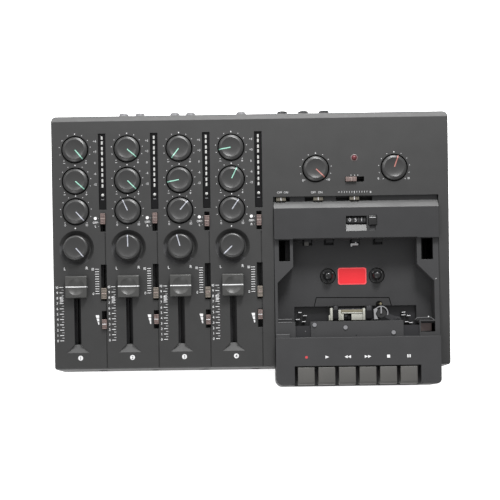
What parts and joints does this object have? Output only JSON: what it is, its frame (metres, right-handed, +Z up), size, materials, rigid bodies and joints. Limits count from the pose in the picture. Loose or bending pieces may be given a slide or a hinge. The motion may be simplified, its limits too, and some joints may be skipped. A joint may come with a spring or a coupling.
{
  "type": "four track cassette recorder",
  "caption": "Desktop multitrack cassette recorder with a sloping mixer panel, turning knobs, sliding faders and switches, piano keys and an open tape transport.",
  "frame": {"origin": "centre of the bounding box's bottom face, on the surface the recorder stands on", "axes": "+X along the channels to the user's right, +Y to the rear with the sockets, +Z up"},
  "size_m": [0.34, 0.2408, 0.0642],
  "materials": {
    "case_plastic": "fine moulded grain, charcoal",
    "base_plastic": "fine moulded grain, near black",
    "deck_plastic": "fine moulded grain, charcoal",
    "board": "green laminate",
    "chassis_steel": "black passivated pressed sheet",
    "socket_metal": "bright plated",
    "socket_black": "satin black",
    "foot_rubber": "matte",
    "screw_steel": "zinc plated",
    "black_gloss": "glossy black",
    "bridge_ivory": "ivory, satin",
    "arm_steel": "bare pressed sheet",
    "roller_rubber": "ground rubber",
    "flywheel_metal": "turned",
    "knob_plastic": "satin charcoal with a printed pointer",
    "fader_plastic": "satin charcoal with a white line",
    "key_plastic": "satin grey",
    "slider_plastic": "satin pinkish grey",
    "switch_plastic": "satin beige grey"
  },
  "bodies": {
    "case": {"top_case": "case_plastic", "bottom_case": "base_plastic", "deck_housing": "deck_plastic", "mixer_board": "board", "tape_chassis": "chassis_steel", "rca_jacks": "socket_metal", "phone_jacks": "socket_black", "rubber_feet": "foot_rubber", "case_screws": "screw_steel"},
    "knob_high_1": {"knob_high_1": "knob_plastic"},
    "knob_high_2": {"knob_high_2": "knob_plastic"},
    "knob_high_3": {"knob_high_3": "knob_plastic"},
    "knob_high_4": {"knob_high_4": "knob_plastic"},
    "knob_low_1": {"knob_low_1": "knob_plastic"},
    "knob_low_2": {"knob_low_2": "knob_plastic"},
    "knob_low_3": {"knob_low_3": "knob_plastic"},
    "knob_low_4": {"knob_low_4": "knob_plastic"},
    "knob_aux_1": {"knob_aux_1": "knob_plastic"},
    "knob_aux_2": {"knob_aux_2": "knob_plastic"},
    "knob_aux_3": {"knob_aux_3": "knob_plastic"},
    "knob_aux_4": {"knob_aux_4": "knob_plastic"},
    "knob_pan_1": {"knob_pan_1": "knob_plastic"},
    "knob_pan_2": {"knob_pan_2": "knob_plastic"},
    "knob_pan_3": {"knob_pan_3": "knob_plastic"},
    "knob_pan_4": {"knob_pan_4": "knob_plastic"},
    "knob_aux_return": {"knob_aux_return": "knob_plastic"},
    "knob_monitor": {"knob_monitor": "knob_plastic"},
    "fader_1": {"fader_1": "fader_plastic"},
    "fader_2": {"fader_2": "fader_plastic"},
    "fader_3": {"fader_3": "fader_plastic"},
    "fader_4": {"fader_4": "fader_plastic"},
    "cue_slider_1": {"cue_slider_1": "slider_plastic"},
    "cue_slider_2": {"cue_slider_2": "slider_plastic"},
    "cue_slider_3": {"cue_slider_3": "slider_plastic"},
    "cue_slider_4": {"cue_slider_4": "slider_plastic"},
    "gain_slider_1": {"gain_slider_1": "slider_plastic"},
    "gain_slider_2": {"gain_slider_2": "slider_plastic"},
    "gain_slider_3": {"gain_slider_3": "slider_plastic"},
    "gain_slider_4": {"gain_slider_4": "slider_plastic"},
    "rec_switch_1": {"rec_switch_1": "slider_plastic"},
    "rec_switch_2": {"rec_switch_2": "slider_plastic"},
    "rec_switch_3": {"rec_switch_3": "slider_plastic"},
    "rec_switch_4": {"rec_switch_4": "slider_plastic"},
    "monitor_select": {"monitor_select": "slider_plastic"},
    "zero_stop_switch": {"zero_stop_switch": "switch_plastic"},
    "noise_switch": {"noise_switch": "switch_plastic"},
    "pitch_slider": {"pitch_slider": "switch_plastic"},
    "key_record": {"key_record": "key_plastic"},
    "key_play": {"key_play": "key_plastic"},
    "key_rewind": {"key_rewind": "key_plastic"},
    "key_forward": {"key_forward": "key_plastic"},
    "key_stop": {"key_stop": "key_plastic"},
    "key_pause": {"key_pause": "key_plastic"},
    "counter_reset": {"counter_reset": "black_gloss"},
    "reel_spindle_left": {"reel_spindle_left": "black_gloss"},
    "reel_spindle_right": {"reel_spindle_right": "black_gloss"},
    "head_bridge": {"head_bridge": "bridge_ivory"},
    "pinch_arm": {"pinch_arm": "arm_steel"},
    "pinch_roller": {"pinch_roller": "roller_rubber"},
    "capstan_flywheel": {"capstan_flywheel": "flywheel_metal"}
  },
  "joints": [
    {"name": "knob_high_1_turn", "type": "hinge", "parent": "case", "child": "knob_high_1", "pos_m": [-0.1496, 0.08357, 0.06066], "axis": [0, -0.1045, 0.9945], "range_deg": [-10, 290]},
    {"name": "knob_low_1_turn", "type": "hinge", "parent": "case", "child": "knob_low_1", "pos_m": [-0.1496, 0.05682, 0.05785], "axis": [0, -0.1045, 0.9945], "range_deg": [-18, 282]},
    {"name": "knob_aux_1_turn", "type": "hinge", "parent": "case", "child": "knob_aux_1", "pos_m": [-0.1496, 0.03086, 0.05512], "axis": [0, -0.1045, 0.9945], "range_deg": [-12, 288]},
    {"name": "knob_pan_1_turn", "type": "hinge", "parent": "case", "child": "knob_pan_1", "pos_m": [-0.1496, -0.00017, 0.05186], "axis": [0, -0.1045, 0.9945], "range_deg": [-11, 289]},
    {"name": "knob_high_2_turn", "type": "hinge", "parent": "case", "child": "knob_high_2", "pos_m": [-0.105, 0.08357, 0.06066], "axis": [0, -0.1045, 0.9945], "range_deg": [-19, 281]},
    {"name": "knob_low_2_turn", "type": "hinge", "parent": "case", "child": "knob_low_2", "pos_m": [-0.105, 0.05682, 0.05785], "axis": [0, -0.1045, 0.9945], "range_deg": [-15, 285]},
    {"name": "knob_aux_2_turn", "type": "hinge", "parent": "case", "child": "knob_aux_2", "pos_m": [-0.105, 0.03086, 0.05512], "axis": [0, -0.1045, 0.9945], "range_deg": [-174, 126]},
    {"name": "knob_pan_2_turn", "type": "hinge", "parent": "case", "child": "knob_pan_2", "pos_m": [-0.105, -0.00017, 0.05186], "axis": [0, -0.1045, 0.9945], "range_deg": [-150, 150]},
    {"name": "knob_high_3_turn", "type": "hinge", "parent": "case", "child": "knob_high_3", "pos_m": [-0.0604, 0.08357, 0.06066], "axis": [0, -0.1045, 0.9945], "range_deg": [-293, 7]},
    {"name": "knob_low_3_turn", "type": "hinge", "parent": "case", "child": "knob_low_3", "pos_m": [-0.0604, 0.05682, 0.05785], "axis": [0, -0.1045, 0.9945], "range_deg": [-252, 48]},
    {"name": "knob_aux_3_turn", "type": "hinge", "parent": "case", "child": "knob_aux_3", "pos_m": [-0.0604, 0.03086, 0.05512], "axis": [0, -0.1045, 0.9945], "range_deg": [-108, 192]},
    {"name": "knob_pan_3_turn", "type": "hinge", "parent": "case", "child": "knob_pan_3", "pos_m": [-0.0604, -0.00017, 0.05186], "axis": [0, -0.1045, 0.9945], "range_deg": [-165, 135]},
    {"name": "knob_high_4_turn", "type": "hinge", "parent": "case", "child": "knob_high_4", "pos_m": [-0.0158, 0.08357, 0.06066], "axis": [0, -0.1045, 0.9945], "range_deg": [-251, 49]},
    {"name": "knob_low_4_turn", "type": "hinge", "parent": "case", "child": "knob_low_4", "pos_m": [-0.0158, 0.05682, 0.05785], "axis": [0, -0.1045, 0.9945], "range_deg": [-123, 177]},
    {"name": "knob_aux_4_turn", "type": "hinge", "parent": "case", "child": "knob_aux_4", "pos_m": [-0.0158, 0.03086, 0.05512], "axis": [0, -0.1045, 0.9945], "range_deg": [-115, 185]},
    {"name": "knob_pan_4_turn", "type": "hinge", "parent": "case", "child": "knob_pan_4", "pos_m": [-0.0158, -0.00017, 0.05186], "axis": [0, -0.1045, 0.9945], "range_deg": [-284, 16]},
    {"name": "knob_aux_return_turn", "type": "hinge", "parent": "case", "child": "knob_aux_return", "pos_m": [0.0564, 0.06428, 0.05863], "axis": [0, -0.1045, 0.9945], "range_deg": [-15, 285]},
    {"name": "knob_monitor_turn", "type": "hinge", "parent": "case", "child": "knob_monitor", "pos_m": [0.1235, 0.06428, 0.05863], "axis": [0, -0.1045, 0.9945], "range_deg": [-131, 169]},
    {"name": "fader_1_slide", "type": "slide", "parent": "case", "child": "fader_1", "axis": [0, 0.9945, 0.1045], "range_m": [-0.045, 0]},
    {"name": "cue_slider_1_slide", "type": "slide", "parent": "case", "child": "cue_slider_1", "axis": [0, 0.9945, 0.1045], "range_m": [0, 0.02]},
    {"name": "gain_slider_1_slide", "type": "slide", "parent": "case", "child": "gain_slider_1", "axis": [0, 0.9945, 0.1045], "range_m": [0, 0.007]},
    {"name": "rec_switch_1_slide", "type": "slide", "parent": "case", "child": "rec_switch_1", "axis": [0, 0.9945, 0.1045], "range_m": [-0.0062, 0]},
    {"name": "fader_2_slide", "type": "slide", "parent": "case", "child": "fader_2", "axis": [0, 0.9945, 0.1045], "range_m": [-0.045, 0]},
    {"name": "cue_slider_2_slide", "type": "slide", "parent": "case", "child": "cue_slider_2", "axis": [0, 0.9945, 0.1045], "range_m": [0, 0.02]},
    {"name": "gain_slider_2_slide", "type": "slide", "parent": "case", "child": "gain_slider_2", "axis": [0, 0.9945, 0.1045], "range_m": [-0.0037, 0.0033]},
    {"name": "rec_switch_2_slide", "type": "slide", "parent": "case", "child": "rec_switch_2", "axis": [0, 0.9945, 0.1045], "range_m": [-0.0062, 0]},
    {"name": "fader_3_slide", "type": "slide", "parent": "case", "child": "fader_3", "axis": [0, 0.9945, 0.1045], "range_m": [-0.045, 0]},
    {"name": "cue_slider_3_slide", "type": "slide", "parent": "case", "child": "cue_slider_3", "axis": [0, 0.9945, 0.1045], "range_m": [0, 0.02]},
    {"name": "gain_slider_3_slide", "type": "slide", "parent": "case", "child": "gain_slider_3", "axis": [0, 0.9945, 0.1045], "range_m": [-0.0027, 0.0043]},
    {"name": "rec_switch_3_slide", "type": "slide", "parent": "case", "child": "rec_switch_3", "axis": [0, 0.9945, 0.1045], "range_m": [-0.0031, 0.0029]},
    {"name": "fader_4_slide", "type": "slide", "parent": "case", "child": "fader_4", "axis": [0, 0.9945, 0.1045], "range_m": [-0.045, 0]},
    {"name": "cue_slider_4_slide", "type": "slide", "parent": "case", "child": "cue_slider_4", "axis": [0, 0.9945, 0.1045], "range_m": [0, 0.02]},
    {"name": "gain_slider_4_slide", "type": "slide", "parent": "case", "child": "gain_slider_4", "axis": [0, 0.9945, 0.1045], "range_m": [-0.0065, 0.0005]},
    {"name": "rec_switch_4_slide", "type": "slide", "parent": "case", "child": "rec_switch_4", "axis": [0, 0.9945, 0.1045], "range_m": [-0.0031, 0.0029]},
    {"name": "monitor_select_slide", "type": "slide", "parent": "case", "child": "monitor_select", "axis": [1, 0, 0], "range_m": [0, 0.0063]},
    {"name": "zero_stop_switch_slide", "type": "slide", "parent": "case", "child": "zero_stop_switch", "axis": [1, 0, 0], "range_m": [0, 0.0033]},
    {"name": "noise_switch_slide", "type": "slide", "parent": "case", "child": "noise_switch", "axis": [1, 0, 0], "range_m": [-0.007, 0]},
    {"name": "pitch_slider_slide", "type": "slide", "parent": "case", "child": "pitch_slider", "axis": [1, 0, 0], "range_m": [-0.01, 0.01]},
    {"name": "key_record_press", "type": "hinge", "parent": "case", "child": "key_record", "pos_m": [0.04555, -0.08858, 0.04025], "axis": [1, 0, 0], "range_deg": [0, 12], "stiffness_Nm_per_rad": 0.1, "springref_deg": -11.46},
    {"name": "key_play_press", "type": "hinge", "parent": "case", "child": "key_play", "pos_m": [0.06305, -0.08858, 0.04025], "axis": [1, 0, 0], "range_deg": [0, 12], "stiffness_Nm_per_rad": 0.1, "springref_deg": -11.46},
    {"name": "key_rewind_press", "type": "hinge", "parent": "case", "child": "key_rewind", "pos_m": [0.08055, -0.08858, 0.04025], "axis": [1, 0, 0], "range_deg": [0, 12], "stiffness_Nm_per_rad": 0.1, "springref_deg": -11.46},
    {"name": "key_forward_press", "type": "hinge", "parent": "case", "child": "key_forward", "pos_m": [0.09805, -0.08858, 0.04025], "axis": [1, 0, 0], "range_deg": [0, 12], "stiffness_Nm_per_rad": 0.1, "springref_deg": -11.46},
    {"name": "key_stop_press", "type": "hinge", "parent": "case", "child": "key_stop", "pos_m": [0.11555, -0.08858, 0.04025], "axis": [1, 0, 0], "range_deg": [0, 12], "stiffness_Nm_per_rad": 0.1, "springref_deg": -11.46},
    {"name": "key_pause_press", "type": "hinge", "parent": "case", "child": "key_pause", "pos_m": [0.13305, -0.08858, 0.04025], "axis": [1, 0, 0], "range_deg": [0, 12], "stiffness_Nm_per_rad": 0.1, "springref_deg": -11.46},
    {"name": "counter_reset_press", "type": "slide", "parent": "case", "child": "counter_reset", "axis": [0, 0.0698, -0.9976], "range_m": [0, 0.0015], "stiffness_N_per_m": 200, "springref_m": -0.003},
    {"name": "reel_spindle_left_turn", "type": "hinge", "parent": "case", "child": "reel_spindle_left", "pos_m": [0.06675, -0.02531, 0.03565], "axis": [0, -0.0698, 0.9976], "continuous": true},
    {"name": "reel_spindle_right_turn", "type": "hinge", "parent": "case", "child": "reel_spindle_right", "pos_m": [0.10925, -0.02531, 0.03565], "axis": [0, -0.0698, 0.9976], "continuous": true},
    {"name": "capstan_flywheel_turn", "type": "hinge", "parent": "case", "child": "capstan_flywheel", "pos_m": [0.111, -0.05021, 0.03191], "axis": [0, -0.0698, 0.9976], "continuous": true},
    {"name": "head_bridge_slide", "type": "slide", "parent": "case", "child": "head_bridge", "axis": [0, 0.9976, 0.0698], "range_m": [0, 0.005]},
    {"name": "pinch_arm_turn", "type": "hinge", "parent": "case", "child": "pinch_arm", "pos_m": [0.126, -0.06486, 0.0379], "axis": [0, -0.0698, 0.9976], "range_deg": [-7.1, 0]},
    {"name": "pinch_roller_turn", "type": "hinge", "parent": "pinch_arm", "child": "pinch_roller", "pos_m": [0.111, -0.05878, 0.04133], "axis": [0, -0.0698, 0.9976], "continuous": true}
  ],
  "couplings": [
    {"joint": "head_bridge_slide", "follows": "key_play_press", "m_per_rad": 0.02387},
    {"joint": "pinch_arm_turn", "follows": "key_play_press", "ratio": -0.58}
  ]
}
